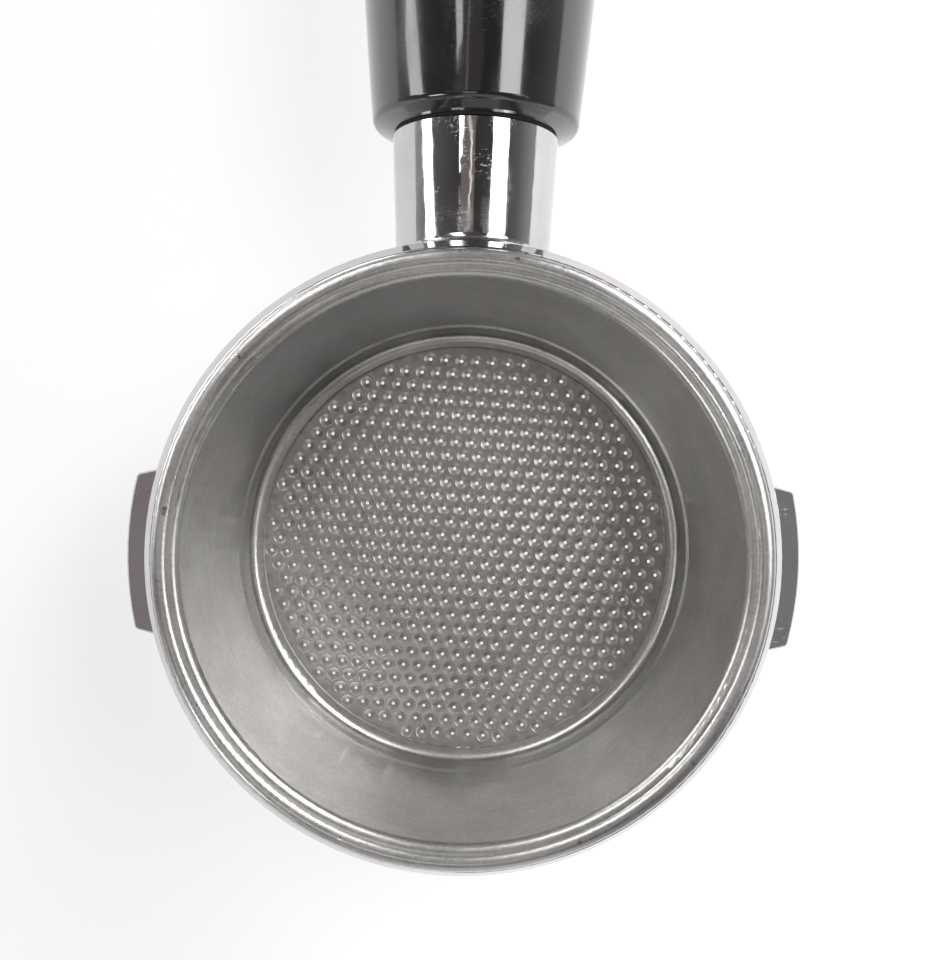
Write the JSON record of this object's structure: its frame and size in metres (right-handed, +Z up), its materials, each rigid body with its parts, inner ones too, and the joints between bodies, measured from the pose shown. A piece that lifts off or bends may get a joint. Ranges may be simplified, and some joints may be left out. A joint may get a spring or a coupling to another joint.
{
  "type": "portafilter",
  "caption": "Bottomless espresso portafilter: bayonet-lugged ring with an arm and moulded grip, a perforated filter basket and its retaining spring.",
  "frame": {"origin": "centre of the ring's flat base, on the cup axis", "axes": "+Z up the cup axis through the basket's mouth; +Y along the arm and the grip, away from the cup; the two bayonet lugs lie on +X and -X"},
  "size_m": [0.0762, 0.2033, 0.0309],
  "materials": {
    "chromed_body": "polished chrome over brass, fine scratches",
    "spring_steel": "drawn spring wire",
    "satin_steel": "satin stainless with drawing marks",
    "screen_steel": "satin stainless, punched holes with shallow dimples",
    "zinc_steel": "zinc-plated steel",
    "black_fibre": "matt black sealing washer",
    "black_phenolic": "polished black phenolic",
    "bush_brass": "turned brass",
    "black_cap": "moulded black plastic"
  },
  "bodies": {
    "holder": {"holder_body": "chromed_body", "tie_rod": "zinc_steel", "neck_washer": "black_fibre", "grip": "black_phenolic", "grip_bush": "bush_brass", "flat_washer": "zinc_steel", "spring_washer": "zinc_steel", "rod_nut": "zinc_steel", "end_cap": "black_cap"},
    "spring": {"retaining_spring": "spring_steel"},
    "basket": {"filter_basket": "satin_steel", "screen_disc": "screen_steel"}
  },
  "joints": [
    {"name": "basket_turn", "type": "hinge", "parent": "holder", "child": "spring", "pos_m": [0, 0, 0.0195], "axis": [0, 0, 1], "continuous": true},
    {"name": "basket_lift", "type": "slide", "parent": "spring", "child": "basket", "axis": [0, 0, 1], "range_m": [0, 0.04]}
  ]
}
